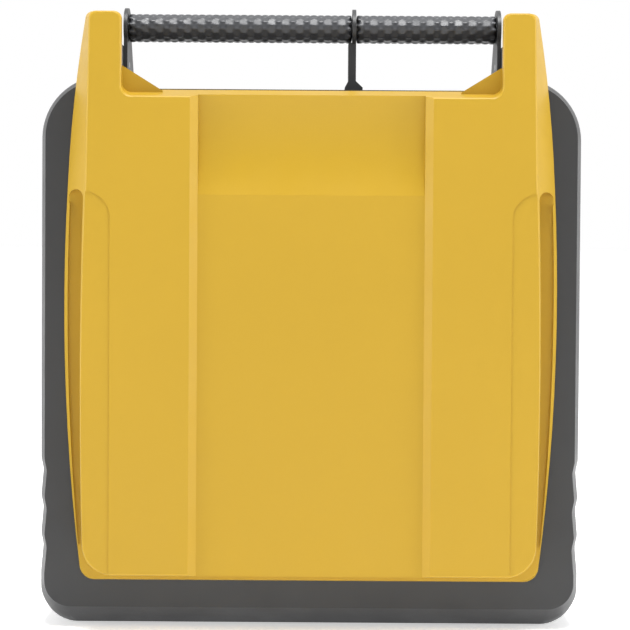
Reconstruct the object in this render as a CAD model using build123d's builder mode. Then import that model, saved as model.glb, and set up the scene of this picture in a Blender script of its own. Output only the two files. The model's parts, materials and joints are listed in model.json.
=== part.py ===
from build123d import *

import os

# Portable semi-automatic defibrillator, standing upright on its base.
# Millimetres. X across (right hand side positive), Y from front to back, Z up.
# Origin: middle of the base, under the middle of the depth.

os.makedirs("parts", exist_ok=True)

# ---------------------------------------------------------------- driving dimensions
COVER_FACE = -45.0        # y of the cover's front face
COVER_RIM = -25.0         # y where the cover's slopes end
COVER_BACK = -23.5        # y of the cover's rear edge
BODY_FRONT = -23.0        # y of the housing's front face
BEVEL_BACK = -10.0        # y where the side bevel ends
SOLE_FRONT = -5.0         # y where the flat base starts
PARTING = 3.0             # y of the joint between front and rear housing
BODY_BACK = 43.5          # y of the rear face
FOOT_BACK = 45.0          # y of the rear feet

HALF_WIDTH = 125.4
BODY_TOP = 249.0          # top between the towers
SHOULDER_TOP = 255.6      # top outside the towers
SHOULDER_R = 29.0
WALL = 2.6
GAP = 0.15                # clearance of fitted pieces

SCALLOP_TOP = 77.6        # highest crest of the side scallops
SCALLOP_PITCH = 17.6
SCALLOP_COUNT = 3
SCALLOP_DEPTH = 1.1
SCALLOP_DROP = 5.0        # from a crest down to its deepest point

TOWER_INNER = 88.2
TOWER_OUTER = 105.0
TOWER_TOP = 270.0
TOWER_ROOT = BODY_TOP - 2.5
TOWER_Y = (-20.0, 25.0)

COVER_WALL = 2.4
FACE_BEVEL = 0.6
RECESS_HALF = 51.5        # flat floor of the centre recess
RECESS_MOUTH = 55.0
RECESS_DEPTH = 3.0
DISH_CREASE = 200.2
DISH_DEEPEST = 227.0
DISH_DEPTH = 4.5
CHANNEL_FLOOR = -27.0
STRIP_INNER = 91.1
STRIP_TOP = 201.4
STRIP_DEPTH = 0.4
HORN_INNER = 86.2
HORN_BACK = -35.0         # y where the horn's inner side ends
NOTCH_Z = 244.6

GRIP_Y = 7.0
GRIP_Z = 279.2
GRIP_DEEP = 22.0
GRIP_TALL = 13.4
BAR_END = 86.4
PLATE = 1.8
FLANGE_RISE = 2.6
CENTRE_FLANGE_X = (18.7, 20.5)

SCREEN = (12.0, 206.0, 96.0, 52.0)       # x, z, width, height of the display opening
SPEAKER = (-72.0, 199.0)
MICROPHONE = (-72.0, 224.0)
SOCKET = (-66.0, 112.0)
POWER_KEY = (-66.0, 158.0)
SHOCK_KEY = (58.0, 100.0)
SMALL_KEYS = ((-8.0, 158.0), (32.0, 158.0))
TONGUES = ((-95.0, 60.0), (-95.0, 178.0), (95.0, 60.0), (95.0, 178.0))
MAGNET = (-84.0, 226.0)
MAGNET_FRONT = -27.0
TONGUE_END = -9.0
GUSSET_FRONT = -34.0
POUCH = (0.0, 116.0)
POUCH_SIZE = (150.0, 150.0)
POUCH_FRONT = -39.0
POUCH_BACK = -28.5
KEY_COLLAR = 1.2

BAY = (0.0, 59.0, 156.0, 74.0)           # x, z, width, height inside the battery bay
BAY_FLOOR = 9.0
BATTERY_EARS = 86.0                      # |x| of the battery screws
LID_HALF = 92.0

SCREW_PLACES = ((-106, 19), (106, 19), (-114.5, 122), (114.5, 122), (-98, 235), (98, 235))
CARD = (79.0, 150.0)                     # x, z of the memory card
SLOT_PITCH = 4.4
OVERLAY = 0.4
OVERLAY_SIZE = (176.0, 164.0)
BOARD_FRONT = -15.0                      # front of the panel board
BOARD_SCREWS = ((-84, 88), (84, 88), (-84, 172), (84, 172))
BOARD_BACK = 31.6                        # rear of the main board
MAIN_BOARD_POSTS = ((-104, 116), (26, 116), (-104, 222), (26, 222))
CAPACITOR_X = (38.0, 106.0)
CAPACITOR_Y = 12.0
CAPACITOR_Z = 205.0
CAPACITOR_R = 23.0
INDUCTOR = (-80.0, 24.3, 190.0)
CONTACT_BLOCK = (50.0, 59.0)
INSERT_R = 2.9
CELL_PITCH = 16.8
BAY_CELL_Y = 29.0
SCREW_SEAT = 14.0
FEET = ((-108, 222), (108, 222), (-110, 112), (110, 112))
FOOT_R = 7.0
RATING_PLATE = (-38.0, 190.0)
STATUS_LIGHT = (-60.0, 24.0)             # x, y on the top
SIDE_PAD_Z = (103.0, 187.0)
SIDE_PAD_RIBS = 12
PIN_R = 1.0
CARD_HINGE_X = 59.0
CARD_HINGE_Y = 42.1

pieces = {}


# ---------------------------------------------------------------- helpers
def facing(y):
    """Plane across the device at depth y: local x is X, local y is Z, the normal points forward."""
    return Plane.XZ.offset(-y)


def nearest(sketch, point):
    """The vertex of a sketch that lies nearest to a point."""
    return sketch.vertices().sort_by_distance((point[0], point[1], 0))[0]


def disc_slab(radius, front, back, places):
    """Discs between two depths, one at each place."""
    with BuildPart() as discs:
        with BuildSketch(facing(back)):
            with Locations(*places):
                Circle(radius)
        extrude(amount=back - front)
    return discs.part


def box_slab(width, height, front, back, places, radius=0.0):
    """Upright slabs between two depths, one at each place, with rounded corners if asked."""
    with BuildPart() as slabs:
        with BuildSketch(facing(back)):
            with Locations(*places):
                if radius:
                    RectangleRounded(width, height, radius)
                else:
                    Rectangle(width, height)
        extrude(amount=back - front)
    return slabs.part


# ---------------------------------------------------------------- housing outlines
def body_outline(y, side, low, high, corner, shoulder, notch=BODY_TOP):
    """Housing outline at depth y, with scallops low on both sides and a notch between the towers."""
    crests = [SCALLOP_TOP - i * SCALLOP_PITCH for i in range(SCALLOP_COUNT, -1, -1)]
    hollows = [crest - SCALLOP_DROP for crest in crests[1:]]
    edge = [(side, crests[0])]
    for hollow, crest in zip(hollows, crests[1:]):
        edge += [(side - SCALLOP_DEPTH, hollow), (side, crest)]
    with BuildSketch(facing(y)) as outline:
        with BuildLine():
            Polyline(
                (0, low), (side, low), *edge, (side, high),
                (TOWER_INNER, high), (TOWER_INNER, notch), (0, notch), (0, low),
            )
        make_face()
        for point in edge[1:-1:2]:
            fillet(nearest(outline, point), 10)
        for point in edge[0::2]:
            fillet(nearest(outline, point), 7)
        fillet(nearest(outline, (side, low)), corner)
        fillet(nearest(outline, (side, high)), shoulder)
        mirror(about=Plane.YZ)
    return outline.sketch


def plain_outline(y, inset, low=None, high=None):
    """Outline of the inside of the housing, without scallops."""
    bottom = inset if low is None else low
    top = BODY_TOP - inset if high is None else high
    with BuildSketch(facing(y)) as outline:
        with BuildLine():
            side = HALF_WIDTH - inset
            Polyline((0, bottom), (side, bottom), (side, top), (0, top), (0, bottom))
        make_face()
        fillet(nearest(outline, (side, bottom)), 17 - inset)
        fillet(nearest(outline, (side, top)), SHOULDER_R - inset)
        mirror(about=Plane.YZ)
    return outline.sketch


with BuildPart() as towers:
    with BuildSketch(Plane.YZ.offset(TOWER_INNER)) as tower_side:
        with BuildLine():
            Polyline(
                (TOWER_Y[0], TOWER_ROOT), (TOWER_Y[1] + 9, TOWER_ROOT), (TOWER_Y[1], TOWER_TOP),
                (TOWER_Y[0], TOWER_TOP), (TOWER_Y[0], TOWER_ROOT),
            )
        make_face()
        fillet(tower_side.vertices().group_by(Axis.Y)[-1], 5)
    extrude(amount=TOWER_OUTER - TOWER_INNER)
    mirror(about=Plane.YZ)


with BuildPart() as front_cavity:
    loft(
        sections=[
            plain_outline(BODY_FRONT + WALL, 5.6, low=12.2),
            plain_outline(BEVEL_BACK, 2.8, low=5.6),
            plain_outline(SOLE_FRONT, 2.8),
            plain_outline(PARTING, 2.8),
        ],
        ruled=True,
    )


def panel_openings(front, back):
    """Everything that passes through the front wall and its overlay."""
    with BuildPart() as openings:
        add(box_slab(SCREEN[2] - 4, SCREEN[3] - 4, front, back, [SCREEN[:2]], 3))
        slots = [(SPEAKER[0], SPEAKER[1] + SLOT_PITCH * row) for row in range(-3, 4)]
        add(box_slab(30, 2.2, front, back, slots, 1.0))
        add(disc_slab(1.2, front, back, [MICROPHONE]))
        add(box_slab(36.3, 24.3, front, back, [SOCKET], 4))
        add(disc_slab(10.4, front, back, [POWER_KEY]))
        add(disc_slab(16.4, front, back, [SHOCK_KEY]))
        add(box_slab(26.6, 12.6, front, back, SMALL_KEYS, 4))
    return openings.part


# ---------------------------------------------------------------- front housing
wall_back = BODY_FRONT + WALL
socket_pins = [(SOCKET[0] - 6, SOCKET[1]), (SOCKET[0] + 6, SOCKET[1])]
contact_blades = [(CONTACT_BLOCK[0] + step, CONTACT_BLOCK[1]) for step in (-9, -3, 3, 9)]
overlay_place = [(0, 152)]

with BuildPart() as front_housing:
    loft(
        sections=[
            body_outline(BODY_FRONT, HALF_WIDTH - 2.9, 9.6, SHOULDER_TOP - 2.9, 12, 26),
            body_outline(BEVEL_BACK, HALF_WIDTH, 2.7, SHOULDER_TOP, 15.5, SHOULDER_R),
            body_outline(SOLE_FRONT, HALF_WIDTH, 0, SHOULDER_TOP, 17, SHOULDER_R),
            body_outline(PARTING, HALF_WIDTH, 0, SHOULDER_TOP, 17, SHOULDER_R),
        ],
        ruled=True,
    )
    add(front_cavity.part, mode=Mode.SUBTRACT)
    add(disc_slab(4.6, wall_back - 0.2, PARTING, SCREW_PLACES))
    add(disc_slab(3.2, wall_back - 0.2, BOARD_FRONT, BOARD_SCREWS))
    add(towers.part)
    split(bisect_by=facing(PARTING), keep=Keep.TOP)
    add(panel_openings(BODY_FRONT - 1, wall_back + 0.2), mode=Mode.SUBTRACT)
    add(box_slab(*OVERLAY_SIZE, BODY_FRONT - 1, BODY_FRONT + OVERLAY, overlay_place, 6), mode=Mode.SUBTRACT)
    window_size = (SCREEN[2] + 4 + 2 * GAP, SCREEN[3] + 4 + 2 * GAP)
    add(box_slab(*window_size, BODY_FRONT - 1, BODY_FRONT + 1.6, [SCREEN[:2]], 4), mode=Mode.SUBTRACT)
    add(box_slab(3.4, 13.0, BODY_FRONT - 1, wall_back + 0.2, TONGUES), mode=Mode.SUBTRACT)
    add(disc_slab(INSERT_R, PARTING - 10, PARTING + 1, SCREW_PLACES), mode=Mode.SUBTRACT)
    add(disc_slab(1.2, wall_back + 0.6, BOARD_FRONT + 1, BOARD_SCREWS), mode=Mode.SUBTRACT)
pieces["front_housing"] = front_housing

# ---------------------------------------------------------------- rear housing
bay_place = [BAY[:2]]
ear_places = [(-BATTERY_EARS, BAY[1]), (BATTERY_EARS, BAY[1])]
inner_back = BODY_BACK - WALL
door_place = [(CARD[0], CARD[1])]
handle_screw_places = [(10.0, 262.0), (19.0, 254.5)]

with BuildPart() as tower_bores:
    with BuildSketch(Plane.YZ.offset(TOWER_INNER - 1)):
        with Locations(*handle_screw_places):
            Circle(2.3)
    extrude(amount=9)
    mirror(about=Plane.YZ)

with BuildPart() as rear_housing:
    extrude(to_extrude=body_outline(BODY_BACK, HALF_WIDTH, 0, SHOULDER_TOP, 17, SHOULDER_R),
            amount=BODY_BACK - PARTING)
    fillet(rear_housing.faces().sort_by(Axis.Y)[-1].outer_wire().edges(), 5)
    extrude(to_extrude=plain_outline(inner_back, 2.8), amount=inner_back - PARTING, mode=Mode.SUBTRACT)
    add(disc_slab(5.6, PARTING, inner_back + 0.2, SCREW_PLACES))
    add(box_slab(BAY[2] + 5, BAY[3] + 5, BAY_FLOOR - WALL, inner_back + 0.2, bay_place, 3))
    add(box_slab(2 * LID_HALF + 6, BAY[3] + 10, inner_back - 3.2, inner_back + 0.2, bay_place, 5))
    add(disc_slab(5.0, 28.0, inner_back, ear_places))
    add(box_slab(48, 34, 35, inner_back + 0.2, door_place))
    add(disc_slab(3.4, BOARD_BACK, inner_back + 0.2, MAIN_BOARD_POSTS))
    add(box_slab(12, 22, 36.2, inner_back + 0.2, [(CAPACITOR_X[0] + 34, CAPACITOR_Z)]))
    add(towers.part)
    split(bisect_by=facing(PARTING), keep=Keep.BOTTOM)
    add(box_slab(BAY[2], BAY[3], BAY_FLOOR, BODY_BACK + 1, bay_place, 2), mode=Mode.SUBTRACT)
    add(box_slab(2 * LID_HALF + 0.6, BAY[3] + 4.6, BODY_BACK - 3.2, BODY_BACK + 1, bay_place, 4.5),
        mode=Mode.SUBTRACT)
    add(disc_slab(INSERT_R, 29.0, BODY_BACK, ear_places), mode=Mode.SUBTRACT)
    add(box_slab(24.2, 8.2, BAY_FLOOR - 4, BAY_FLOOR + 1, [CONTACT_BLOCK]), mode=Mode.SUBTRACT)
    add(disc_slab(2.3, PARTING - 1, BODY_BACK, SCREW_PLACES), mode=Mode.SUBTRACT)
    add(disc_slab(4.4, SCREW_SEAT, BODY_BACK + 1, SCREW_PLACES), mode=Mode.SUBTRACT)
    add(box_slab(38, 25, BODY_BACK - 2.5, BODY_BACK + 1, [(CARD[0], CARD[1])], 2), mode=Mode.SUBTRACT)
    add(box_slab(4.6, 27, BODY_BACK - 3.7, BODY_BACK + 1, [(CARD_HINGE_X, CARD[1])]), mode=Mode.SUBTRACT)
    add(box_slab(30, 14, 36, BODY_BACK, [CARD], 2), mode=Mode.SUBTRACT)
    add(box_slab(25, 3, 34, 37, [CARD]), mode=Mode.SUBTRACT)
    add(disc_slab(FOOT_R + GAP, BODY_BACK - 1, BODY_BACK + 1, FEET), mode=Mode.SUBTRACT)
    add(box_slab(70.2, 34.2, BODY_BACK - 0.4, BODY_BACK + 1, [RATING_PLATE], 2.1), mode=Mode.SUBTRACT)
    with BuildSketch(Plane.XY.offset(BODY_TOP - 4)):
        with Locations(STATUS_LIGHT):
            Circle(3.6)
    extrude(amount=6, mode=Mode.SUBTRACT)
    with BuildSketch(Plane.XY.offset(SIDE_PAD_Z[0])):
        with Locations((HALF_WIDTH, 22), (-HALF_WIDTH, 22)):
            Rectangle(1.6, 28)
    extrude(amount=SIDE_PAD_Z[1] - SIDE_PAD_Z[0], mode=Mode.SUBTRACT)
    add(tower_bores.part, mode=Mode.SUBTRACT)
    add(disc_slab(1.2, BOARD_BACK - 1, BOARD_BACK + 5, MAIN_BOARD_POSTS), mode=Mode.SUBTRACT)
    hinge_bore = CARD[1] - 14.5
    with BuildSketch(Plane.XY.offset(hinge_bore)):
        with Locations((CARD_HINGE_X, CARD_HINGE_Y)):
            Circle(PIN_R)
    extrude(amount=29, mode=Mode.SUBTRACT)
pieces["rear_housing"] = rear_housing

with BuildPart() as housing_gasket:
    extrude(to_extrude=plain_outline(PARTING + 2, 2.9), amount=4)
    extrude(to_extrude=plain_outline(PARTING + 2, 5.0), amount=4, mode=Mode.SUBTRACT)
pieces["housing_gasket"] = housing_gasket

with BuildPart() as housing_screws:
    add(disc_slab(2.0, PARTING - 8.5, SCREW_SEAT, SCREW_PLACES))
    add(disc_slab(4.0, SCREW_SEAT, SCREW_SEAT + 3, SCREW_PLACES))
    add(box_slab(3.0, 3.0, SCREW_SEAT + 1.2, SCREW_SEAT + 4, SCREW_PLACES), mode=Mode.SUBTRACT)
pieces["housing_screws"] = housing_screws

with BuildPart() as housing_inserts:
    add(disc_slab(INSERT_R, PARTING - 9, PARTING - 0.1, SCREW_PLACES))
    add(disc_slab(INSERT_R, 30.0, 40.0, ear_places))
    add(disc_slab(2.1, PARTING - 10, PARTING + 1, SCREW_PLACES), mode=Mode.SUBTRACT)
    add(disc_slab(2.1, 29.0, 41.0, ear_places), mode=Mode.SUBTRACT)
pieces["housing_inserts"] = housing_inserts

# ---------------------------------------------------------------- handle
def oval_rod(half_deep, half_tall, x0, x1):
    """Rod of oval section along X."""
    with BuildPart() as rod:
        with BuildSketch(Plane.YZ.offset(x0)):
            with Locations((GRIP_Y, GRIP_Z)):
                Ellipse(half_deep, half_tall)
        extrude(amount=x1 - x0)
    return rod.part


grip_half = (GRIP_DEEP / 2, GRIP_TALL / 2)
core_half = (8.5, 4.3)
flange_half = (grip_half[0] + FLANGE_RISE, grip_half[1] + FLANGE_RISE)

with BuildPart() as handle_frame:
    add(oval_rod(*core_half, -BAR_END, BAR_END))
    for x0 in (-TOWER_INNER, BAR_END, CENTRE_FLANGE_X[0]):
        add(oval_rod(*flange_half, x0, x0 + PLATE))
    for side in (-1, 1):
        arm_plane = Plane.YZ.offset(-TOWER_INNER if side < 0 else BAR_END)
        with BuildSketch(arm_plane) as arm:
            with BuildLine():
                Polyline((-4, BODY_TOP), (-4, 279), (18, 279), (36, 259), (36, BODY_TOP), (-4, BODY_TOP))
            make_face()
            fillet(nearest(arm, (36, 259)), 5)
            with Locations(*handle_screw_places):
                Circle(1.6, mode=Mode.SUBTRACT)
        extrude(amount=PLATE)
    with BuildSketch(facing(GRIP_Y + 8)) as post:
        with BuildLine():
            Polyline(
                (16.9, 272.4), (16.9, 254.5), (15.3, 251.5), (15.3, BODY_TOP), (23.7, BODY_TOP),
                (23.7, 251.5), (20.5, 254.5), (20.5, 272.4), (16.9, 272.4),
            )
        make_face()
    extrude(amount=16)
pieces["handle_frame"] = handle_frame

grip_spans = {
    "handle_grip_left": (-TOWER_INNER + PLATE, CENTRE_FLANGE_X[0]),
    "handle_grip_right": (CENTRE_FLANGE_X[1], BAR_END),
}
for name, (x0, x1) in grip_spans.items():
    with BuildPart() as grip:
        add(oval_rod(*grip_half, x0, x1))
        add(oval_rod(*core_half, x0 - 1, x1 + 1), mode=Mode.SUBTRACT)
    pieces[name] = grip

with BuildPart() as handle_screws:
    with BuildSketch(Plane.YZ.offset(BAR_END)):
        with Locations(*handle_screw_places):
            Circle(1.5)
    extrude(amount=9)
    mirror(about=Plane.YZ)
pieces["handle_screws"] = handle_screws

with BuildPart() as handle_inserts:
    with BuildSketch(Plane.YZ.offset(TOWER_INNER)):
        with Locations(*handle_screw_places):
            Circle(2.3)
            Circle(1.55, mode=Mode.SUBTRACT)
    extrude(amount=7.5)
    mirror(about=Plane.YZ)
pieces["handle_inserts"] = handle_inserts

# ---------------------------------------------------------------- side grip pads
pad_base = HALF_WIDTH - 0.8
rib_pitch = (SIDE_PAD_Z[1] - SIDE_PAD_Z[0] - 0.6) / SIDE_PAD_RIBS
for side, name in ((-1, "side_grip_left"), (1, "side_grip_right")):
    with BuildPart() as side_grip:
        with BuildSketch(facing(35.8)):
            with BuildLine():
                z = SIDE_PAD_Z[0] + 0.3
                crest = side * (HALF_WIDTH + 0.45)
                valley = side * (HALF_WIDTH - 0.05)
                Line((side * pad_base, z), (valley, z))
                for rib in range(SIDE_PAD_RIBS):
                    bottom = z + rib * rib_pitch
                    ThreePointArc(
                        (valley, bottom), (crest, bottom + rib_pitch / 2), (valley, bottom + rib_pitch)
                    )
                top = SIDE_PAD_Z[1] - 0.3
                Polyline((valley, top), (side * pad_base, top), (side * pad_base, z))
            make_face()
        extrude(amount=27.6)
    pieces[name] = side_grip

# ---------------------------------------------------------------- front cover
def cover_outline(y, bottom, low, mid, joint, upper, horn, inner, notch, radii):
    """Cover outline at depth y: base, bowed side, horn and the notch between the horns."""
    corner_r, horn_r, inner_r, notch_r = radii
    with BuildSketch(facing(y)) as outline:
        with BuildLine():
            Line((0, bottom), (low, bottom))
            ThreePointArc((low, bottom), mid, joint)
            ThreePointArc(joint, upper, horn)
            Polyline(horn, (inner, horn[1]), (inner, notch), (0, notch), (0, bottom))
        make_face()
        fillet(nearest(outline, (low, bottom)), corner_r)
        fillet(nearest(outline, horn), horn_r)
        fillet(nearest(outline, (inner, horn[1])), inner_r)
        fillet(nearest(outline, (inner, notch)), notch_r)
        mirror(about=Plane.YZ)
    return outline.sketch


def face_outline(y, inset):
    """Outline of the cover's front face, drawn in by an inset."""
    return cover_outline(
        y, 27.3 + inset, 102.6 - inset, (103.9 - inset, 118), (102.2 - inset, 205), (101.6 - inset, 240),
        (100.8 - inset, 282.7 - inset), HORN_INNER + inset, NOTCH_Z - inset,
        (14.5 - inset, 3.5, 3.5, 5),
    )


def rim_outline(y):
    """Outline of the cover's flange."""
    return cover_outline(
        y, 22.6, 105.2, (113.2, 130), (111.9, 205), (109.9, 235), (103.6, 284.2),
        HORN_INNER + 0.6, NOTCH_Z + 3.9, (7, 3.5, 3.5, 4),
    )


def channel_side():
    """Finger channel and foot step on one side, seen from the front."""
    with BuildSketch(facing(CHANNEL_FLOOR)) as channel:
        with BuildLine():
            Polyline((0, 26.8), (0, 10), (130, 10), (130, 39), (106.3, 39))
            ThreePointArc((106.3, 39), (111.1, 120), (110.7, 196))
            ThreePointArc((110.7, 196), (107.2, 202.4), (103.3, 198))
            ThreePointArc((103.3, 198), (104.4, 118), (103.1, 26.8))
            Line((103.1, 26.8), (0, 26.8))
        make_face()
        fillet(nearest(channel, (103.1, 26.8)), 14)
    return channel.sketch


dish_r = ((DISH_DEEPEST - DISH_CREASE) ** 2 + DISH_DEPTH**2) / (2 * DISH_DEPTH)
dish_axis = (COVER_FACE + RECESS_DEPTH + DISH_DEPTH - dish_r, DISH_DEEPEST)


def centre_recess(thickness):
    """Space of the recess and dish in the cover's face, grown by a wall thickness."""
    with BuildPart() as recess:
        with BuildSketch(Plane.XY) as trough:
            with BuildLine():
                deep = COVER_FACE + RECESS_DEPTH + thickness
                Polyline(
                    (-RECESS_MOUTH - thickness, COVER_FACE), (-RECESS_HALF - thickness, deep),
                    (RECESS_HALF + thickness, deep), (RECESS_MOUTH + thickness, COVER_FACE),
                    (RECESS_MOUTH + thickness, COVER_FACE - 2), (-RECESS_MOUTH - thickness, COVER_FACE - 2),
                    close=True,
                )
            make_face()
        extrude(amount=260)
        with BuildSketch(Plane.YZ.offset(-RECESS_HALF - thickness)):
            with Locations(dish_axis):
                Circle(dish_r + thickness)
        extrude(amount=2 * (RECESS_HALF + thickness))
    return recess.part


with BuildPart() as finger_channels:
    extrude(to_extrude=channel_side(), amount=30)
    mirror(about=Plane.YZ)


def inner_outline(y, inset):
    """Outline of the space inside the cover, drawn in by an inset."""
    return cover_outline(
        y, 30 + inset, 100.0 - inset, (101.4 - inset, 118), (99.7 - inset, 205), (99.2 - inset, 240),
        (98.2 - inset, 280 - inset), HORN_INNER + COVER_WALL + inset, NOTCH_Z - COVER_WALL - inset,
        (12 - inset, 2, 2, 3),
    )


def seal_block(inset):
    """Full area inside the cover below the horns, one seal thickness deep."""
    with BuildPart() as block:
        extrude(to_extrude=inner_outline(BODY_FRONT - 0.1, inset), amount=2.2)
        split(bisect_by=Plane.XY.offset(NOTCH_Z - COVER_WALL - inset), keep=Keep.BOTTOM)
    return block.part


with BuildPart() as cover_cavity:
    extrude(to_extrude=inner_outline(COVER_BACK + 1, 0), amount=COVER_BACK + 1 - COVER_FACE - COVER_WALL)
    add(centre_recess(COVER_WALL), mode=Mode.SUBTRACT)

with BuildPart() as front_cover:
    loft(
        sections=[
            face_outline(COVER_FACE, FACE_BEVEL),
            face_outline(COVER_FACE + FACE_BEVEL, 0),
            rim_outline(COVER_RIM),
        ],
        ruled=True,
    )
    extrude(to_extrude=rim_outline(COVER_BACK), amount=COVER_BACK - COVER_RIM)
    add(finger_channels.part, mode=Mode.SUBTRACT)
    add(cover_cavity.part, mode=Mode.SUBTRACT)
    add(centre_recess(0), mode=Mode.SUBTRACT)
    with BuildSketch(facing(COVER_FACE + STRIP_DEPTH)) as strips:
        with BuildLine():
            Polyline((STRIP_INNER, 10), (130, 10), (130, STRIP_TOP), (STRIP_INNER, STRIP_TOP), close=True)
        make_face()
        fillet(nearest(strips, (STRIP_INNER, STRIP_TOP)), 11.5)
        mirror(about=Plane.YZ)
    extrude(amount=2, mode=Mode.SUBTRACT)
    with BuildSketch(facing(COVER_BACK + 1)):
        with Locations((HORN_INNER, 272), (-HORN_INNER, 272)):
            Rectangle(8, 28)
    extrude(amount=COVER_BACK + 1 - HORN_BACK, mode=Mode.SUBTRACT)
    with BuildSketch(facing(COVER_BACK)):
        with BuildLine():
            Polyline(
                (68, 244), (68, 247.5), (70.1, 248.8), (87.6, 259.6), (90.5, 259.6), (90.5, 244), close=True
            )
        make_face()
        mirror(about=Plane.YZ)
    extrude(amount=COVER_BACK - GUSSET_FRONT)
    add(box_slab(2.6, 12.0, COVER_FACE + 1.5, TONGUE_END, TONGUES))
    add(disc_slab(5.5, COVER_FACE + 2, MAGNET_FRONT, [MAGNET]))
pieces["front_cover"] = front_cover

with BuildPart() as cover_seal:
    add(seal_block(0.0))
    add(seal_block(2.2), mode=Mode.SUBTRACT)
pieces["cover_seal"] = cover_seal

with BuildPart() as cover_magnet:
    add(disc_slab(4.0, MAGNET_FRONT, MAGNET_FRONT + 2.5, [MAGNET]))
pieces["cover_magnet"] = cover_magnet

with BuildPart() as electrode_pouch:
    add(box_slab(*POUCH_SIZE, POUCH_FRONT, POUCH_BACK, [POUCH], 10))
    fillet(electrode_pouch.edges().filter_by(Plane.XZ), 3)
pieces["electrode_pouch"] = electrode_pouch

with BuildPart() as pouch_clips:
    clip_x = POUCH_SIZE[0] / 2 + 0.6
    for height in (78, 150):
        with BuildSketch(Plane.XY.offset(height)):
            with BuildLine():
                Polyline(
                    (clip_x, COVER_FACE + COVER_WALL), (clip_x + 2, COVER_FACE + COVER_WALL),
                    (clip_x + 2, POUCH_BACK + 2.2), (clip_x - 7, POUCH_BACK + 2.2),
                    (clip_x - 7, POUCH_BACK + 0.5), (clip_x, POUCH_BACK + 0.5), close=True,
                )
            make_face()
        extrude(amount=14)
    mirror(about=Plane.YZ)
pieces["pouch_clips"] = pouch_clips

with BuildPart() as cover_spring_clips:
    for x, z in TONGUES:
        with BuildSketch(Plane.XY.offset(z - 5)):
            for side in (-1, 1):
                with BuildLine():
                    Polyline(
                        (x + side * 6, wall_back + 0.2), (x + side * 1.6, wall_back + 0.2),
                        (x + side * 1.6, TONGUE_END + 1), (x, TONGUE_END + 1),
                    )
                trace(line_width=0.4)
        extrude(amount=10)
pieces["cover_spring_clips"] = cover_spring_clips

# ---------------------------------------------------------------- control side
with BuildPart() as panel_overlay:
    film_size = (OVERLAY_SIZE[0] - 0.2, OVERLAY_SIZE[1] - 0.2)
    add(box_slab(*film_size, BODY_FRONT, BODY_FRONT + OVERLAY, overlay_place, 6))
    add(panel_openings(BODY_FRONT - 1, wall_back), mode=Mode.SUBTRACT)
    add(box_slab(*window_size, BODY_FRONT - 1, wall_back, [SCREEN[:2]], 4), mode=Mode.SUBTRACT)
pieces["panel_overlay"] = panel_overlay

with BuildPart() as display_window:
    add(box_slab(SCREEN[2] + 4, SCREEN[3] + 4, BODY_FRONT + 0.1, BODY_FRONT + 1.6, [SCREEN[:2]], 4))
pieces["display_window"] = display_window

with BuildPart() as display_module:
    add(box_slab(SCREEN[2] - 5, SCREEN[3] - 5, wall_back - 0.6, BOARD_FRONT, [SCREEN[:2]], 2.8))
pieces["display_module"] = display_module

with BuildPart() as speaker:
    add(disc_slab(19.5, wall_back + 0.4, -9, [SPEAKER]))
    add(disc_slab(11, -9, -3, [SPEAKER]))
pieces["speaker"] = speaker

with BuildPart() as speaker_mesh:
    add(disc_slab(19.0, wall_back, wall_back + 0.4, [SPEAKER]))
pieces["speaker_mesh"] = speaker_mesh

with BuildPart() as microphone:
    add(disc_slab(4.5, wall_back, wall_back + 5, [MICROPHONE]))
pieces["microphone"] = microphone

with BuildPart() as electrode_socket:
    add(box_slab(36, 24, BODY_FRONT - 0.6, BOARD_FRONT, [SOCKET], 4))
    add(box_slab(26, 13, BODY_FRONT - 1, BODY_FRONT + 6.4, [SOCKET], 3), mode=Mode.SUBTRACT)
    add(disc_slab(1.3, BODY_FRONT, BOARD_FRONT - 0.5, socket_pins), mode=Mode.SUBTRACT)
pieces["electrode_socket"] = electrode_socket

with BuildPart() as socket_contacts:
    add(disc_slab(1.3, BODY_FRONT + 2, BOARD_FRONT - 0.5, socket_pins))
pieces["socket_contacts"] = socket_contacts


def round_key(radius, proud, place):
    """Round key with a hidden collar behind the front wall."""
    with BuildPart() as key:
        add(disc_slab(radius, BODY_FRONT - proud, wall_back + KEY_COLLAR, [place]))
        add(disc_slab(radius + 1.8, wall_back + 0.1, wall_back + KEY_COLLAR, [place]))
        fillet(key.edges().group_by(Axis.Y)[0], 0.8)
    return key


power_key = round_key(10.0, 1.6, POWER_KEY)
pieces["power_key"] = power_key

shock_key = round_key(16.0, 2.2, SHOCK_KEY)
with BuildPart() as shock_symbol:
    with BuildSketch(facing(BODY_FRONT - 1.6)):
        with Locations(SHOCK_KEY):
            Polygon((1.5, 9.5), (-6, -1.2), (-1.2, -1.2), (-2.4, -9.5), (6, 1.8), (0.8, 1.8), align=None)
    extrude(amount=0.8)
with BuildPart() as shock_cap:
    add(shock_key.part)
    add(shock_symbol.part, mode=Mode.SUBTRACT)
pieces["shock_key"] = shock_cap
pieces["shock_symbol"] = shock_symbol

for place, name in zip(SMALL_KEYS, ("info_key", "mode_key")):
    with BuildPart() as small_key:
        add(box_slab(26, 12, BODY_FRONT - 1.2, wall_back + KEY_COLLAR, [place], 3.7))
        add(box_slab(29, 15, wall_back + 0.1, wall_back + KEY_COLLAR, [place], 3.7))
        fillet(small_key.edges().group_by(Axis.Y)[0], 0.6)
    pieces[name] = small_key

with BuildPart() as keypad_mat:
    add(box_slab(156, 94, BOARD_FRONT - 1.2, BOARD_FRONT, [(0, 126)], 4))
    add(disc_slab(5, BOARD_FRONT - 2, BOARD_FRONT - 1, [POWER_KEY, SHOCK_KEY, *SMALL_KEYS]))
    add(box_slab(37, 25, BOARD_FRONT - 2, BOARD_FRONT, [SOCKET]), mode=Mode.SUBTRACT)
pieces["keypad_mat"] = keypad_mat

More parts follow.
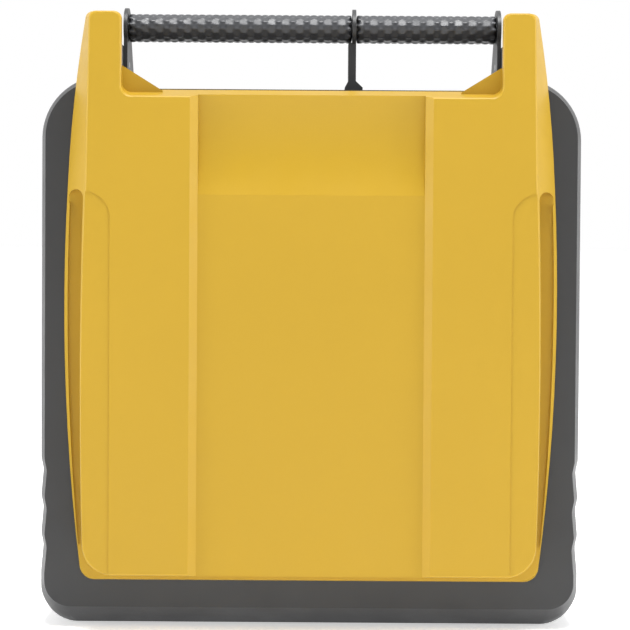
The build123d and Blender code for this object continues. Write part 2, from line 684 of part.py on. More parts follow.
with BuildPart() as panel_board:
    add(box_slab(176, 98, BOARD_FRONT, BOARD_FRONT + 1.6, [(0, 129)], 2))
    add(box_slab(110, 60, BOARD_FRONT, BOARD_FRONT + 1.6, [(SCREEN[0], 204)], 2))
    add(disc_slab(1.3, BOARD_FRONT - 1, BOARD_FRONT + 3, BOARD_SCREWS), mode=Mode.SUBTRACT)
pieces["panel_board"] = panel_board

with BuildPart() as board_screws:
    add(disc_slab(1.2, BOARD_FRONT - 4, BOARD_FRONT + 1.6, BOARD_SCREWS))
    add(disc_slab(2.6, BOARD_FRONT + 1.6, BOARD_FRONT + 3.2, BOARD_SCREWS))
    add(disc_slab(1.2, BOARD_BACK - 1.6, BOARD_BACK + 5, MAIN_BOARD_POSTS))
    add(disc_slab(2.6, BOARD_BACK - 3.2, BOARD_BACK - 1.6, MAIN_BOARD_POSTS))
pieces["board_screws"] = board_screws

with BuildPart() as reed_switch:
    with BuildSketch(Plane.XY.offset(MAGNET[1] - 6)):
        with Locations((MAGNET[0], wall_back + 1.4)):
            Circle(1.3)
    extrude(amount=12)
pieces["reed_switch"] = reed_switch

with BuildPart() as status_light:
    with BuildSketch(Plane.XY.offset(BODY_TOP - 4)):
        with Locations(STATUS_LIGHT):
            Circle(3.4)
    extrude(amount=4.6)
    fillet(status_light.edges().group_by(Axis.Z)[-1], 0.5)
pieces["status_light"] = status_light

# ---------------------------------------------------------------- electronics
main_back = BOARD_BACK - 1.6
with BuildPart() as main_board:
    add(box_slab(138, 114, main_back, BOARD_BACK, [(-39, 169)], 2))
    add(disc_slab(1.3, main_back - 1, BOARD_BACK + 1, MAIN_BOARD_POSTS), mode=Mode.SUBTRACT)
pieces["main_board"] = main_board

with BuildPart() as hv_capacitor:
    with BuildSketch(Plane.YZ.offset(CAPACITOR_X[0])):
        with Locations((CAPACITOR_Y, CAPACITOR_Z)):
            Circle(CAPACITOR_R)
    extrude(amount=CAPACITOR_X[1] - CAPACITOR_X[0])
    fillet(hv_capacitor.edges(), 1.5)
pieces["hv_capacitor"] = hv_capacitor

with BuildPart() as capacitor_strap:
    with BuildSketch(Plane.YZ.offset(CAPACITOR_X[0] + 28)):
        with Locations((CAPACITOR_Y, CAPACITOR_Z)):
            Circle(CAPACITOR_R + 1.2)
            Circle(CAPACITOR_R, mode=Mode.SUBTRACT)
    extrude(amount=12)
    split(bisect_by=facing(36.0), keep=Keep.TOP)
pieces["capacitor_strap"] = capacitor_strap

with BuildPart() as charge_transformer:
    add(box_slab(34, 30, 8, main_back, [(-78, 140)], 2))
    add(box_slab(26, 38, 11, main_back - 3, [(-78, 140)], 6))
pieces["charge_transformer"] = charge_transformer

with BuildPart() as discharge_relay:
    add(box_slab(29, 13, 14, main_back, [(-35, 128)], 1))
pieces["discharge_relay"] = discharge_relay

with BuildPart() as discharge_inductor:
    with BuildSketch(Plane.XY.offset(INDUCTOR[2])):
        with Locations((INDUCTOR[0] + 14, INDUCTOR[1])):
            Circle(5.6)
    revolve(axis=Axis(INDUCTOR, (0, 1, 0)), revolution_arc=360)
pieces["discharge_inductor"] = discharge_inductor

with BuildPart() as heat_sink:
    add(box_slab(40, 42, main_back - 4, main_back, [(-16, 190)]))
    fins = [(-16 + 5 * step, 190) for step in range(-3, 4)]
    add(box_slab(1.4, 42, 10, main_back - 3.5, fins))
pieces["heat_sink"] = heat_sink

with BuildPart() as ribbon_cable:
    with BuildSketch(Plane.YZ.offset(-12)):
        with BuildLine():
            FilletPolyline((-13.0, 108), (-6, 108), (6, 134), (29.6, 134), radius=3)
        trace(line_width=0.8)
    extrude(amount=24)
pieces["ribbon_cable"] = ribbon_cable

with BuildPart() as battery_contacts:
    add(box_slab(24, 8, BAY_FLOOR - 4, BAY_FLOOR, [CONTACT_BLOCK]))
    add(box_slab(1.0, 5, BAY_FLOOR - 6, BAY_FLOOR + 6, contact_blades))
pieces["battery_contacts"] = battery_contacts

with BuildPart() as card_socket:
    add(box_slab(29, 6.6, 8, 35, [CARD]))
    add(box_slab(24.6, 2.6, 9.5, 36, [CARD]), mode=Mode.SUBTRACT)
pieces["card_socket"] = card_socket

# ---------------------------------------------------------------- battery module
case_front = BAY_FLOOR + 0.4
lid_front = BODY_BACK - 3.0
with BuildPart() as battery_case:
    add(box_slab(BAY[2] - 0.8, BAY[3] - 0.8, case_front, lid_front, bay_place, 2))
    hollow = (BAY[2] - 4.4, BAY[3] - 4.4)
    add(box_slab(*hollow, case_front + 10, lid_front + 1, bay_place, 1), mode=Mode.SUBTRACT)
    add(box_slab(25, 9, case_front - 1, case_front + 7.5, [CONTACT_BLOCK]), mode=Mode.SUBTRACT)
    add(box_slab(1.2, 5, case_front + 7, case_front + 11, contact_blades), mode=Mode.SUBTRACT)
pieces["battery_case"] = battery_case

with BuildPart() as battery_terminals:
    add(box_slab(1.2, 5, case_front + 7.5, case_front + 10, contact_blades))
pieces["battery_terminals"] = battery_terminals

with BuildPart() as battery_cells:
    cell_rows = [(BAY[0] + CELL_PITCH * (step - 4), BAY_CELL_Y) for step in range(9)]
    for bottom in (BAY[1] - 34.4, BAY[1] + 0.2):
        with BuildSketch(Plane.XY.offset(bottom)):
            with Locations(*cell_rows):
                Circle(8.2)
        extrude(amount=34.2)
pieces["battery_cells"] = battery_cells

with BuildPart() as battery_lid:
    add(box_slab(2 * LID_HALF, BAY[3] + 4, lid_front, BODY_BACK, bay_place, 4.2))
    add(disc_slab(2.3, lid_front - 1, BODY_BACK + 1, ear_places), mode=Mode.SUBTRACT)
    add(disc_slab(6.0, BODY_BACK - 1.6, BODY_BACK + 1, ear_places), mode=Mode.SUBTRACT)
    add(box_slab(60, 5, BODY_BACK - 1.2, BODY_BACK + 1, [(0, 88), (0, 30)], 2.4), mode=Mode.SUBTRACT)
pieces["battery_lid"] = battery_lid

for place, name in zip(ear_places, ("battery_screw_left", "battery_screw_right")):
    with BuildPart() as thumb_screw:
        add(disc_slab(5.6, BODY_BACK - 1.5, BODY_BACK + 1.0, [place]))
        add(disc_slab(2.0, 31.0, BODY_BACK - 1.5, [place]))
        with BuildSketch(facing(BODY_BACK + 1.0)):
            with Locations(place):
                Rectangle(8.6, 1.6)
        extrude(amount=1.3, mode=Mode.SUBTRACT)
    pieces[name] = thumb_screw

# ---------------------------------------------------------------- memory card and its door
with BuildPart() as memory_card:
    add(box_slab(24, 2.1, 12.5, 38.2, [CARD]))
pieces["memory_card"] = memory_card

door_left = CARD_HINGE_X + 2.4
door_right = CARD[0] + 18.7
with BuildPart() as card_door:
    door_centre = ((door_left + door_right) / 2, CARD[1])
    add(box_slab(door_right - door_left, 24.4, BODY_BACK - 2.4, BODY_BACK, [door_centre], 1.8))
    with BuildSketch(Plane.XY.offset(CARD[1] - 11)):
        with Locations((CARD_HINGE_X, CARD_HINGE_Y)):
            Circle(2.0)
        with Locations((CARD_HINGE_X + 1.4, CARD_HINGE_Y + 0.2)):
            Rectangle(2.9, 2.2)
    extrude(amount=22)
    with BuildSketch(Plane.XY.offset(CARD[1] - 12)):
        with Locations((CARD_HINGE_X, CARD_HINGE_Y)):
            Circle(PIN_R + 0.05)
    extrude(amount=24, mode=Mode.SUBTRACT)
    add(disc_slab(3.5, BODY_BACK - 0.9, BODY_BACK + 1, [(door_right - 5.5, CARD[1])]), mode=Mode.SUBTRACT)
pieces["card_door"] = card_door

with BuildPart() as card_door_pin:
    with BuildSketch(Plane.XY.offset(CARD[1] - 14.5)):
        with Locations((CARD_HINGE_X, CARD_HINGE_Y)):
            Circle(PIN_R)
    extrude(amount=29)
pieces["card_door_pin"] = card_door_pin

# ---------------------------------------------------------------- back
with BuildPart() as rear_feet:
    add(disc_slab(FOOT_R, BODY_BACK - 1, FOOT_BACK, FEET))
    fillet(rear_feet.edges().group_by(Axis.Y)[-1], 0.6)
pieces["rear_feet"] = rear_feet

with BuildPart() as rating_plate:
    add(box_slab(70, 34, BODY_BACK - 0.4, BODY_BACK, [RATING_PLATE], 2))
pieces["rating_plate"] = rating_plate


for name, piece in pieces.items():
    piece.part.label = name
    export_step(piece.part, f"parts/{name}.step")
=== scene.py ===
import json
import math

import bpy
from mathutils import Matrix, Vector


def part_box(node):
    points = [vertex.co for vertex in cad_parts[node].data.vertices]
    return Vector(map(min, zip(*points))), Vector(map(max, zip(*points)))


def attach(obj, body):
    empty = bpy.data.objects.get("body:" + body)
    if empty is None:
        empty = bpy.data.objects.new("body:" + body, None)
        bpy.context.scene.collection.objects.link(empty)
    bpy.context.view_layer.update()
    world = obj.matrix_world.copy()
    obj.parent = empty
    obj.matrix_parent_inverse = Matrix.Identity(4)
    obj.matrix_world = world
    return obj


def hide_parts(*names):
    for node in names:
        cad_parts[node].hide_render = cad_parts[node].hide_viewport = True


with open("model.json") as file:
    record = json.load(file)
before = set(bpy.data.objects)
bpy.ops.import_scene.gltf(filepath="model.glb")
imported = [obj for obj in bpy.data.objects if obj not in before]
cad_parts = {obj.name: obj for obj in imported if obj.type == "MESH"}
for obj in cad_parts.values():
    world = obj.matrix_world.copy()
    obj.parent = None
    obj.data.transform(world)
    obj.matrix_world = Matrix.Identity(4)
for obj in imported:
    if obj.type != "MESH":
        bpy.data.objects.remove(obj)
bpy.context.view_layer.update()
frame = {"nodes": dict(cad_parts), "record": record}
nodes = frame["nodes"]
scene = bpy.context.scene
MM = 0.001


# ---------------------------------------------------------------- camera, light and floor
VIEW_DISTANCE = 1.100
VIEW_CENTRE = 0.1461      # height on the cover at the middle of the picture
VIEW_ASIDE = 0.0018
VIEW_DOWN = math.radians(1.9)
VIEW_ROLL = math.radians(-0.38)
COVER_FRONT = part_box("front_cover")[0][1]

LIT_POINT = (0, 0, 0.14)
SOFT_BOXES = {            # place, edge length and power
    "high_light": ((0.06, -0.28, 1.3), 0.6, 20.0),
    "left_light": ((-1.5, -0.35, 0.45), 0.9, 12.5),
    "right_light": ((1.5, -0.35, 0.45), 0.9, 13.0),
}
FLOOR_SIZE = 60
FLOOR_TONE = 0.93
FLOOR_GLOW = 0.48
WHITE = (1, 1, 1, 1)


def make_camera():
    """Long lens straight in front of the cover, looking very slightly down."""
    data = bpy.data.cameras.new("front_camera")
    data.lens = 139.0
    data.sensor_width = 36.0
    data.clip_start = 0.05
    camera = bpy.data.objects.new("front_camera", data)
    back_off = VIEW_DISTANCE * math.cos(VIEW_DOWN)
    rise = VIEW_DISTANCE * math.sin(VIEW_DOWN)
    camera.location = (VIEW_ASIDE, COVER_FRONT - back_off, VIEW_CENTRE + rise)
    camera.rotation_euler = (math.radians(90) - VIEW_DOWN, VIEW_ROLL, 0)
    scene.collection.objects.link(camera)
    scene.camera = camera


def add_soft_box(name, place, size, power):
    """Square lamp that looks at the middle of the object."""
    data = bpy.data.lights.new(name, "AREA")
    data.size = size
    data.energy = power
    lamp = bpy.data.objects.new(name, data)
    lamp.location = place
    lamp.rotation_euler = (Vector(LIT_POINT) - Vector(place)).to_track_quat("-Z", "Y").to_euler()
    scene.collection.objects.link(lamp)


def direction_range(tree, value, low, high, at_low, at_high):
    """Strength of the surroundings between two values of a direction."""
    ranged = tree.nodes.new("ShaderNodeMapRange")
    tree.links.new(value, ranged.inputs["Value"])
    ends = {"From Min": low, "From Max": high, "To Min": at_low, "To Max": at_high}
    for name, number in ends.items():
        ranged.inputs[name].default_value = number
    return ranged.outputs["Result"]


def make_surroundings():
    """White behind the object and all round the horizon, dark above and in front."""
    world = bpy.data.worlds.new("studio")
    world.use_nodes = True
    tree = world.node_tree
    background = tree.nodes["Background"]
    ways = tree.nodes.new("ShaderNodeSeparateXYZ")
    tree.links.new(tree.nodes.new("ShaderNodeTexCoord").outputs["Generated"], ways.inputs["Vector"])
    behind = direction_range(tree, ways.outputs["Y"], -0.25, 0.05, 0.0, 1.0)
    horizon = direction_range(tree, ways.outputs["Z"], 0.14, 0.24, 1.0, 0.0)
    brighter = tree.nodes.new("ShaderNodeMath")
    brighter.operation = "MAXIMUM"
    tree.links.new(behind, brighter.inputs[0])
    tree.links.new(horizon, brighter.inputs[1])
    tree.links.new(brighter.outputs["Value"], background.inputs["Strength"])
    background.inputs["Color"].default_value = WHITE
    scene.world = world
    scene.view_settings.view_transform = "Standard"


def make_floor():
    """Wide pale floor that glows a little, so that it stays as white as the surroundings."""
    bpy.ops.mesh.primitive_plane_add(size=FLOOR_SIZE, location=(0, 0, 0))
    floor = bpy.context.object
    floor.name = "studio_floor"
    floor_paint = bpy.data.materials.new("floor_paint")
    floor_paint.use_nodes = True
    shader = floor_paint.node_tree.nodes["Principled BSDF"]
    shader.inputs["Base Color"].default_value = (FLOOR_TONE, FLOOR_TONE, FLOOR_TONE, 1)
    shader.inputs["Roughness"].default_value = 0.9
    shader.inputs["Emission Color"].default_value = WHITE
    shader.inputs["Emission Strength"].default_value = FLOOR_GLOW
    floor.data.materials.append(floor_paint)


make_camera()
for box_name, (place, size, power) in SOFT_BOXES.items():
    add_soft_box(box_name, place, size, power)
make_surroundings()
make_floor()


# ---------------------------------------------------------------- materials
class Finish:
    """A material being built: short ways to add and join its nodes."""

    def __init__(self, name):
        self.material = bpy.data.materials.new(name)
        self.material.use_nodes = True
        self.tree = self.material.node_tree
        self.shader = self.tree.nodes["Principled BSDF"]
        self.place = self.tree.nodes.new("ShaderNodeTexCoord").outputs["Object"]

    def node(self, kind, **inputs):
        made = self.tree.nodes.new("ShaderNode" + kind)
        for name, value in inputs.items():
            self.feed(made, name.replace("_", " "), value)
        return made

    def feed(self, node, name, value):
        if isinstance(value, bpy.types.NodeSocket):
            self.tree.links.new(value, node.inputs[name])
        else:
            node.inputs[name].default_value = value

    def set(self, **inputs):
        for name, value in inputs.items():
            self.feed(self.shader, name.replace("_", " "), value)

    def noise(self, scale, detail=2.0, roughness=0.5, stretch=None):
        place = self.place
        if stretch:
            place = self.node("Mapping", Vector=place, Scale=stretch).outputs["Vector"]
        texture = self.node("TexNoise", Vector=place, Scale=scale, Detail=detail, Roughness=roughness)
        return texture.outputs["Fac"]

    def cells(self, scale):
        return self.node("TexVoronoi", Vector=self.place, Scale=scale).outputs["Distance"]

    def span(self, value, low, high, from_low=0.0, from_high=1.0):
        """A value carried from one range to another."""
        ranged = self.node("MapRange", Value=value)
        ends = {"From Min": from_low, "From Max": from_high, "To Min": low, "To Max": high}
        for name, number in ends.items():
            ranged.inputs[name].default_value = number
        return ranged.outputs["Result"]

    def mix(self, factor, first, second, blend="MIX"):
        mixer = self.tree.nodes.new("ShaderNodeMix")
        mixer.data_type = "RGBA"
        mixer.blend_type = blend
        for index, value in ((0, factor), (6, first), (7, second)):
            if isinstance(value, bpy.types.NodeSocket):
                self.tree.links.new(value, mixer.inputs[index])
            else:
                mixer.inputs[index].default_value = value
        return mixer.outputs[2]

    def bump(self, height, strength, distance, onto=None):
        bumped = self.node("Bump", Height=height, Strength=strength, Distance=distance)
        if onto:
            self.feed(bumped, "Normal", onto)
        return bumped.outputs["Normal"]


def shade(colour, factor):
    return tuple(min(1.0, c * factor) for c in colour) + (1.0,)


def moulded(name, colour, roughness, grain=0.12, grain_scale=2600.0, specular=0.5, tone=0.04):
    """Moulded plastic: spark-eroded grain, slight tone drift, faint handling marks."""
    finish = Finish(name)
    drift = finish.span(finish.noise(9.0, 3.0), 0.0, 1.0, 0.3, 0.7)
    fine = finish.noise(grain_scale, 2.0, 0.6)
    base = finish.mix(drift, shade(colour, 1 - tone), shade(colour, 1 + tone))
    speck = finish.span(fine, 0.0, 0.35, 0.35, 0.75)
    finish.set(Base_Color=finish.mix(speck, base, shade(colour, 0.9)))
    smudge = finish.noise(38.0, 4.0, 0.6)
    finish.set(Roughness=finish.span(smudge, roughness - 0.05, roughness + 0.07, 0.3, 0.7))
    waviness = finish.bump(finish.noise(55.0, 1.0), 0.05, 0.0006)
    finish.set(Normal=finish.bump(fine, grain, 0.00025, waviness))
    finish.shader.inputs["Specular IOR Level"].default_value = specular
    return finish.material


def rubber(name, colour, roughness=0.62):
    """Soft elastomer: dull, slightly dusty, very fine pitting."""
    finish = Finish(name)
    dust = finish.span(finish.noise(60.0, 5.0, 0.65), 0.0, 0.5, 0.45, 0.8)
    finish.set(Base_Color=finish.mix(dust, shade(colour, 1.0), shade(colour, 1.35)))
    finish.set(Roughness=finish.span(finish.noise(90.0, 3.0), roughness - 0.08, roughness + 0.1, 0.3, 0.7))
    finish.set(Normal=finish.bump(finish.cells(1900.0), 0.16, 0.0002))
    return finish.material


def metal(name, colour, roughness, along=(1.0, 30.0, 1.0), scratch=0.08):
    """Machined or drawn metal with fine lines and slight stains."""
    finish = Finish(name)
    lines = finish.noise(700.0, 3.0, 0.7, along)
    stain = finish.span(finish.noise(70.0, 3.0), 0.0, 0.4, 0.4, 0.8)
    finish.set(Base_Color=finish.mix(stain, shade(colour, 1.0), shade(colour, 0.8)))
    finish.set(Metallic=1.0)
    finish.set(Roughness=finish.span(lines, roughness - 0.06, roughness + 0.12, 0.3, 0.7))
    finish.set(Normal=finish.bump(lines, scratch, 0.0001))
    return finish.material


def laminate_board(name):
    """Circuit board: solder resist over copper areas and tracks."""
    finish = Finish(name)
    tracks = finish.node("TexBrick", Vector=finish.place, Scale=160.0)
    tracks.inputs["Color1"].default_value = (0.012, 0.12, 0.035, 1)
    tracks.inputs["Color2"].default_value = (0.018, 0.16, 0.05, 1)
    tracks.inputs["Mortar"].default_value = (0.03, 0.24, 0.08, 1)
    tracks.inputs["Mortar Size"].default_value = 0.03
    finish.set(Base_Color=tracks.outputs["Color"])
    finish.set(Roughness=finish.span(finish.noise(300.0), 0.25, 0.4))
    finish.set(Normal=finish.bump(tracks.outputs["Fac"], 0.3, 0.00005))
    return finish.material


def glass(name, colour, roughness=0.06):
    """Clear window with faint wipe marks."""
    finish = Finish(name)
    finish.set(Base_Color=shade(colour, 1.0))
    finish.set(Roughness=finish.span(finish.noise(40.0, 4.0), roughness, roughness + 0.06, 0.3, 0.7))
    finish.set(Normal=finish.bump(finish.noise(30.0, 1.0), 0.02, 0.0004))
    finish.shader.inputs["Transmission Weight"].default_value = 0.85
    finish.shader.inputs["IOR"].default_value = 1.49
    return finish.material


def foil(name, colour):
    """Metallised laminate with small creases."""
    finish = Finish(name)
    crease = finish.noise(120.0, 6.0, 0.7)
    finish.set(Base_Color=finish.mix(finish.span(crease, 0, 0.5), shade(colour, 1.0), shade(colour, 0.82)))
    finish.set(Metallic=0.85)
    finish.set(Roughness=finish.span(crease, 0.22, 0.42, 0.3, 0.7))
    finish.set(Normal=finish.bump(crease, 0.35, 0.0008))
    return finish.material


def weave(name, colour):
    """Fine woven acoustic cloth."""
    finish = Finish(name)
    warp = finish.node("TexWave", Vector=finish.place, Scale=900.0)
    warp.bands_direction = "X"
    weft = finish.node("TexWave", Vector=finish.place, Scale=900.0)
    weft.bands_direction = "Z"
    crossing = finish.node("Math")
    crossing.operation = "MULTIPLY"
    finish.feed(crossing, 0, warp.outputs["Fac"])
    finish.feed(crossing, 1, weft.outputs["Fac"])
    finish.set(Base_Color=finish.mix(crossing.outputs[0], shade(colour, 0.6), shade(colour, 1.4)))
    finish.set(Roughness=0.85)
    finish.set(Normal=finish.bump(crossing.outputs[0], 0.5, 0.0002))
    return finish.material


finishes = {
    "yellow_plastic": moulded(
        "yellow_plastic", (0.450, 0.278, 0.021), 0.42, grain=0.10, specular=0.25, tone=0.02
    ),
    "dark_plastic": moulded("dark_plastic", (0.0250, 0.0257, 0.0270), 0.45, grain=0.16, tone=0.05),
    "grip_rubber": rubber("grip_rubber", (0.040, 0.042, 0.047), 0.42),
    "black_plastic": moulded("black_plastic", (0.018, 0.018, 0.020), 0.4),
    "overlay_film": moulded("overlay_film", (0.62, 0.65, 0.67), 0.38, grain=0.06),
    "window_glass": glass("window_glass", (0.80, 0.86, 0.88)),
    "screen": moulded("screen", (0.020, 0.034, 0.045), 0.18, grain=0.01),
    "green_key": moulded("green_key", (0.035, 0.34, 0.085), 0.3, grain=0.05),
    "orange_key": moulded("orange_key", (0.80, 0.10, 0.015), 0.28, grain=0.04),
    "white_plastic": moulded("white_plastic", (0.80, 0.80, 0.76), 0.4),
    "blue_key": moulded("blue_key", (0.04, 0.12, 0.34), 0.35, grain=0.06),
    "mesh_cloth": weave("mesh_cloth", (0.03, 0.03, 0.032)),
    "circuit_board": laminate_board("circuit_board"),
    "steel": metal("steel", (0.60, 0.61, 0.62), 0.3),
    "brass": metal("brass", (0.66, 0.45, 0.17), 0.28),
    "aluminium": metal("aluminium", (0.68, 0.69, 0.70), 0.36),
    "magnet_nickel": metal("magnet_nickel", (0.62, 0.61, 0.58), 0.16, scratch=0.03),
    "pouch_foil": foil("pouch_foil", (0.72, 0.75, 0.78)),
    "cell_sleeve": moulded("cell_sleeve", (0.03, 0.09, 0.34), 0.3, grain=0.03),
    "ferrite": moulded("ferrite", (0.045, 0.045, 0.048), 0.7, grain=0.4, grain_scale=1400.0),
    "grey_plastic": moulded("grey_plastic", (0.15, 0.16, 0.17), 0.45),
    "green_lens": glass("green_lens", (0.12, 0.72, 0.25), 0.12),
    "plate_foil": metal("plate_foil", (0.66, 0.67, 0.68), 0.34, along=(30.0, 1.0, 1.0)),
}


# ---------------------------------------------------------------- carried-over nodes
ROUNDING = {
    "front_cover": 0.55, "front_housing": 0.5, "rear_housing": 0.5, "handle_frame": 0.4, "battery_lid": 0.3,
    "card_door": 0.3, "power_key": 0.3, "shock_key": 0.3, "info_key": 0.3, "mode_key": 0.3,
}
USUAL_ROUNDING = 0.15
EDGE_ANGLE = math.radians(28)
COVER_EDGE_ANGLE = math.radians(11)


def deselect():
    bpy.ops.object.select_all(action="DESELECT")


def round_edges(node, width):
    """Joins the loose triangles, clears flat areas of needless edges and rounds the sharp edges."""
    weld = node.modifiers.new("weld", "WELD")
    weld.merge_threshold = 0.000002
    flat = node.modifiers.new("flat_areas", "DECIMATE")
    flat.decimate_type = "DISSOLVE"
    flat.angle_limit = math.radians(0.4)
    bevel = node.modifiers.new("edge_radius", "BEVEL")
    bevel.limit_method = "ANGLE"
    bevel.angle_limit = COVER_EDGE_ANGLE if node.name == "front_cover" else EDGE_ANGLE
    bevel.width = width * MM
    bevel.segments = 2
    even = node.modifiers.new("even_shading", "WEIGHTED_NORMAL")
    even.mode = "FACE_AREA"
    even.weight = 50
    deselect()
    node.select_set(True)
    bpy.context.view_layer.objects.active = node
    bpy.ops.object.shade_smooth()


def dress_nodes():
    """Gives every CAD node its finish and its edge rounding."""
    slot_of = {part["node"]: part["material_slot"] for part in frame["record"]["subparts"]}
    for name, node in nodes.items():
        node.data.materials.clear()
        node.data.materials.append(finishes[slot_of[name]])
        round_edges(node, ROUNDING.get(name, USUAL_ROUNDING))


dress_nodes()


# ---------------------------------------------------------------- grips
GRIP_CELLS_ROUND = 22
GRIP_CELL_LENGTH = 3.3 * MM
PILLOW_RISE = 0.5 * MM
PILLOW_SLOPE = 0.45 * MM


def make_grip(node_name):
    """Oval sleeve with a staggered lattice of shallow pillows."""
    low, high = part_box(node_name)
    length = high[0] - low[0]
    middle = [(a + b) / 2 for a, b in zip(low, high)]
    rings = 2 * round(length / GRIP_CELL_LENGTH / 2)
    deselect()
    bpy.ops.mesh.primitive_cylinder_add(
        vertices=GRIP_CELLS_ROUND, radius=1.0, depth=length, end_fill_type="NOTHING",
        location=middle, rotation=(0, math.radians(90), 0),
    )
    grip = bpy.context.object
    grip.name = node_name + "_pillows"
    half_tall = (high[2] - low[2]) / 2
    half_deep = (high[1] - low[1]) / 2
    grip.scale = (half_tall - PILLOW_RISE, half_deep - PILLOW_RISE, 1)
    bpy.ops.object.transform_apply(location=True, rotation=True, scale=True)
    bpy.ops.object.mode_set(mode="EDIT")
    bpy.ops.mesh.select_mode(type="EDGE")
    bpy.ops.mesh.select_all(action="DESELECT")
    bpy.ops.object.mode_set(mode="OBJECT")
    for edge in grip.data.edges:
        a, b = (grip.data.vertices[i].co for i in edge.vertices)
        edge.select = abs(a.x - b.x) > length / 2
    bpy.ops.object.mode_set(mode="EDIT")
    bpy.ops.mesh.subdivide(number_cuts=rings - 1)
    bpy.ops.mesh.select_all(action="DESELECT")
    bpy.ops.mesh.select_mode(type="FACE")
    bpy.ops.object.mode_set(mode="OBJECT")
    for face in grip.data.polygons:
        step = int((face.center.x - low[0]) / length * rings)
        angle = math.atan2((face.center.z - middle[2]) / half_tall, (face.center.y - middle[1]) / half_deep)
        turn = round(angle / (2 * math.pi) * GRIP_CELLS_ROUND - 0.5)
        face.select = (step + turn) % 2 == 0
    bpy.ops.object.mode_set(mode="EDIT")
    bpy.ops.mesh.inset(thickness=PILLOW_SLOPE, depth=PILLOW_RISE, use_individual=True)
    bpy.ops.mesh.select_all(action="DESELECT")
    bpy.ops.mesh.select_mode(type="EDGE")
    bpy.ops.mesh.select_non_manifold()
    bpy.ops.mesh.fill_holes(sides=0)
    bpy.ops.mesh.select_all(action="SELECT")
    bpy.ops.mesh.normals_make_consistent(inside=False)
    bpy.ops.object.mode_set(mode="OBJECT")
    smooth = grip.modifiers.new("soft_form", "SUBSURF")
    smooth.levels = 2
    smooth.render_levels = 2
    bpy.ops.object.modifier_apply(modifier="soft_form")
    bpy.ops.object.shade_smooth()
    grip.data.materials.append(finishes["grip_rubber"])
    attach(grip, "root")
    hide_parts(node_name)


make_grip("handle_grip_left")
make_grip("handle_grip_right")


# ---------------------------------------------------------------- electrode pouch
POUCH_CELLS = 56
POUCH_SEAM = 9.0 * MM
POUCH_REST = 0.68         # where the seams lie, as a share of the depth from the front
FILM = 0.8 * MM
CRIMP_HEIGHT = 0.12 * MM
CRIMP_PITCH = 0.9 * MM
SEAM_SOFTNESS = 9 * MM
PUFF_FRONT = -5.6 * MM
PUFF_BACK = 2.4 * MM


def make_pouch():
    """Sealed foil pouch: crimped seams all round and a softly puffed, creased middle."""
    low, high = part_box("electrode_pouch")
    middle = [(a + b) / 2 for a, b in zip(low, high)]
    half = (high[0] - low[0]) / 2
    rest = low[1] + POUCH_REST * (high[1] - low[1])
    deselect()
    bpy.ops.mesh.primitive_grid_add(
        x_subdivisions=POUCH_CELLS, y_subdivisions=POUCH_CELLS, size=2 * half,
        location=(middle[0], rest, middle[2]), rotation=(math.radians(90), 0, 0),
    )
    pouch = bpy.context.object
    pouch.name = "electrode_pouch_foil"
    bpy.ops.object.transform_apply(location=True, rotation=True, scale=True)
    skin = pouch.modifiers.new("two_films", "SOLIDIFY")
    skin.thickness = FILM
    skin.offset = 0
    bpy.ops.object.modifier_apply(modifier="two_films")
    for vertex in pouch.data.vertices:
        u = (vertex.co.x - middle[0]) / half
        v = (vertex.co.z - middle[2]) / half
        inset = min(1 - abs(u), 1 - abs(v)) * half - POUCH_SEAM
        front = vertex.co.y < rest
        if inset <= 0:
            vertex.co.y += CRIMP_HEIGHT * math.sin(math.pi * inset / CRIMP_PITCH)
            continue
        crown = (1 - u**2) ** 0.5 * (1 - v**2) ** 0.5
        puff = crown * (1 - math.exp(-inset / SEAM_SOFTNESS))
        crease = 0.35 * math.sin(19 * u + 6 * math.sin(5 * v)) + 0.25 * math.sin(23 * v - 7 * u)
        swell = puff * (1 + 0.09 * crease)
        vertex.co.y += swell * (PUFF_FRONT if front else PUFF_BACK)
    smooth = pouch.modifiers.new("soft_form", "SUBSURF")
    smooth.levels = 1
    smooth.render_levels = 1
    bpy.ops.object.modifier_apply(modifier="soft_form")
    bpy.ops.object.shade_smooth()
    pouch.data.materials.append(finishes["pouch_foil"])
    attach(pouch, "cover")
    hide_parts("electrode_pouch")


make_pouch()


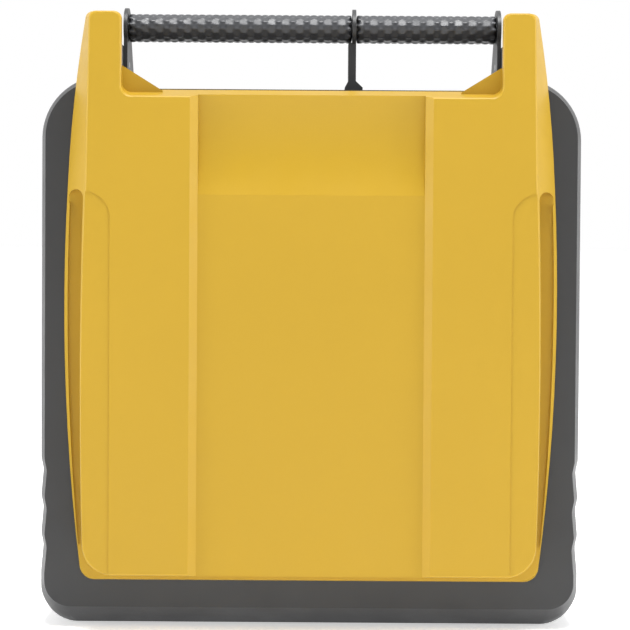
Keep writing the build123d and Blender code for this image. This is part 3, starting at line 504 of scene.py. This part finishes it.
# ---------------------------------------------------------------- sign on the power key
SIGN_THICKNESS = 0.12 * MM
RING_RADIUS = 4.6 * MM
RING_GAP = math.radians(28)
RING_INNER = 0.76         # inner radius of the ring as a share of the outer one
BAR_WIDTH = 1.1 * MM
BAR_HEIGHT = 5.2 * MM
BAR_RISE = 3.4 * MM


def settle_sign(sign, name, body, finish):
    """Names a sign, gives it its finish and lets it ride on a body."""
    sign.name = name
    bpy.ops.object.transform_apply(location=True, rotation=True, scale=True)
    sign.data.materials.append(finishes[finish])
    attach(sign, body)


def make_power_sign():
    """Open ring with an upright bar, printed on the power key."""
    low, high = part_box("power_key")
    x, z = (low[0] + high[0]) / 2, (low[2] + high[2]) / 2
    deselect()
    bpy.ops.mesh.primitive_circle_add(
        vertices=48, radius=RING_RADIUS, location=(x, low[1], z), rotation=(math.radians(90), 0, 0)
    )
    ring = bpy.context.object
    bpy.ops.object.mode_set(mode="EDIT")
    bpy.ops.mesh.select_mode(type="VERT")
    bpy.ops.mesh.select_all(action="DESELECT")
    bpy.ops.object.mode_set(mode="OBJECT")
    for vertex in ring.data.vertices:
        vertex.select = vertex.co.y > RING_RADIUS * math.cos(RING_GAP)
    bpy.ops.object.mode_set(mode="EDIT")
    bpy.ops.mesh.delete(type="VERT")
    bpy.ops.mesh.select_all(action="SELECT")
    bpy.ops.mesh.extrude_region_move()
    bpy.ops.transform.resize(value=(RING_INNER, 1, RING_INNER))
    bpy.ops.object.mode_set(mode="OBJECT")
    bpy.ops.object.transform_apply(location=True, rotation=True, scale=True)
    film = ring.modifiers.new("ink", "SOLIDIFY")
    film.thickness = SIGN_THICKNESS
    film.offset = 0
    bpy.ops.object.modifier_apply(modifier="ink")
    settle_sign(ring, "power_sign_ring", "power_key_body", "white_plastic")
    deselect()
    bpy.ops.mesh.primitive_cube_add(size=1, location=(x, low[1], z + BAR_RISE))
    bar = bpy.context.object
    bar.scale = (BAR_WIDTH, SIGN_THICKNESS, BAR_HEIGHT)
    settle_sign(bar, "power_sign_bar", "power_key_body", "white_plastic")


make_power_sign()
